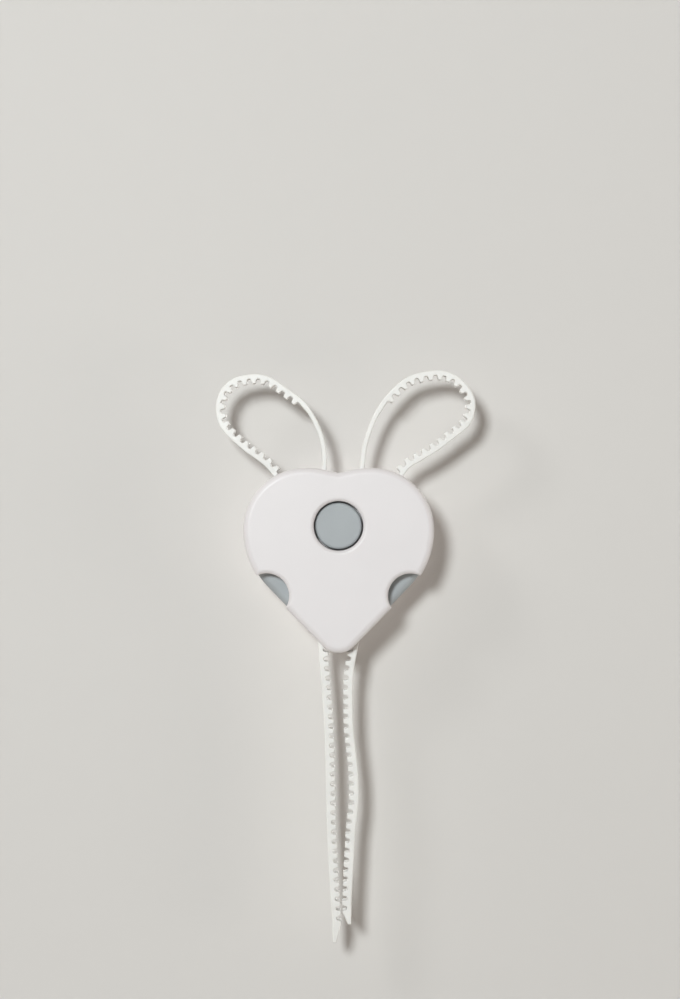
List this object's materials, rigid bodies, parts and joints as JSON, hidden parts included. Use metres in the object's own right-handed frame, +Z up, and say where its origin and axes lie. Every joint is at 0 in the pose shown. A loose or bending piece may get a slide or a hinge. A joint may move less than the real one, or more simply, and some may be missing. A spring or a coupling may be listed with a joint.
{
  "type": "cabinet safety lock",
  "caption": "Heart-shaped cabinet safety lock with a centre button, two grey side buttons and two toothed straps that loop round door handles.",
  "frame": {"origin": "where the centre button's axis meets the flat back face that lies against the cabinet doors", "axes": "+Z up, from the tip of the heart to its dip and opposite to the hanging tails, +Y into the door, +X to the right seen from the front"},
  "size_m": [0.092, 0.02, 0.2025],
  "materials": {
    "shell": "satin off-white moulded plastic",
    "button": "satin grey moulded plastic",
    "grip": "satin grey moulded plastic",
    "strap": "flexible, slightly translucent white plastic",
    "inner": "natural white low-friction resin",
    "steel": "zinc-plated"
  },
  "bodies": {
    "housing": {"front_shell": "shell", "back_shell": "shell", "left_strap": "strap", "right_strap": "strap", "left_anchor_pin": "steel", "right_anchor_pin": "steel", "left_pawl_pin": "steel", "right_pawl_pin": "steel", "shell_screws": "steel", "centre_spring": "steel", "left_button_spring": "steel", "right_button_spring": "steel", "left_pawl_spring": "steel", "right_pawl_spring": "steel"},
    "press_button": {"centre_button": "button", "lock_collar": "inner"},
    "left_button": {"left_side_button": "grip"},
    "right_button": {"right_side_button": "grip"},
    "left_ratchet": {"left_pawl": "inner"},
    "right_ratchet": {"right_pawl": "inner"}
  },
  "joints": [
    {"name": "centre_press", "type": "slide", "parent": "housing", "child": "press_button", "axis": [0, 1, 0], "range_m": [0, 0.0025], "stiffness_N_per_m": 400, "springref_m": -0.002, "deforming": ["centre_spring"]},
    {"name": "left_squeeze", "type": "slide", "parent": "housing", "child": "left_button", "axis": [1, 0, 0], "range_m": [0, 0.0025], "stiffness_N_per_m": 300, "springref_m": -0.002, "deforming": ["left_button_spring"]},
    {"name": "right_squeeze", "type": "slide", "parent": "housing", "child": "right_button", "axis": [-1, 0, 0], "range_m": [0, 0.0025], "stiffness_N_per_m": 300, "springref_m": -0.002, "deforming": ["right_button_spring"]},
    {"name": "left_pawl_swing", "type": "hinge", "parent": "housing", "child": "left_ratchet", "pos_m": [-0.00789, -0.01, -0.01196], "axis": [0, -1, 0], "range_deg": [0, 16.2], "stiffness_Nm_per_rad": 0.004, "springref_deg": -11.46, "deforming": ["left_pawl_spring"]},
    {"name": "right_pawl_swing", "type": "hinge", "parent": "housing", "child": "right_ratchet", "pos_m": [0.00789, -0.01, -0.01196], "axis": [0, 1, 0], "range_deg": [0, 16.2], "stiffness_Nm_per_rad": 0.004, "springref_deg": -11.46, "deforming": ["right_pawl_spring"]}
  ],
  "couplings": [
    {"joint": "left_squeeze", "follows": "centre_press", "ratio": 1},
    {"joint": "right_squeeze", "follows": "centre_press", "ratio": 1},
    {"joint": "left_pawl_swing", "follows": "centre_press", "rad_per_m": 113},
    {"joint": "right_pawl_swing", "follows": "centre_press", "rad_per_m": 113}
  ]
}
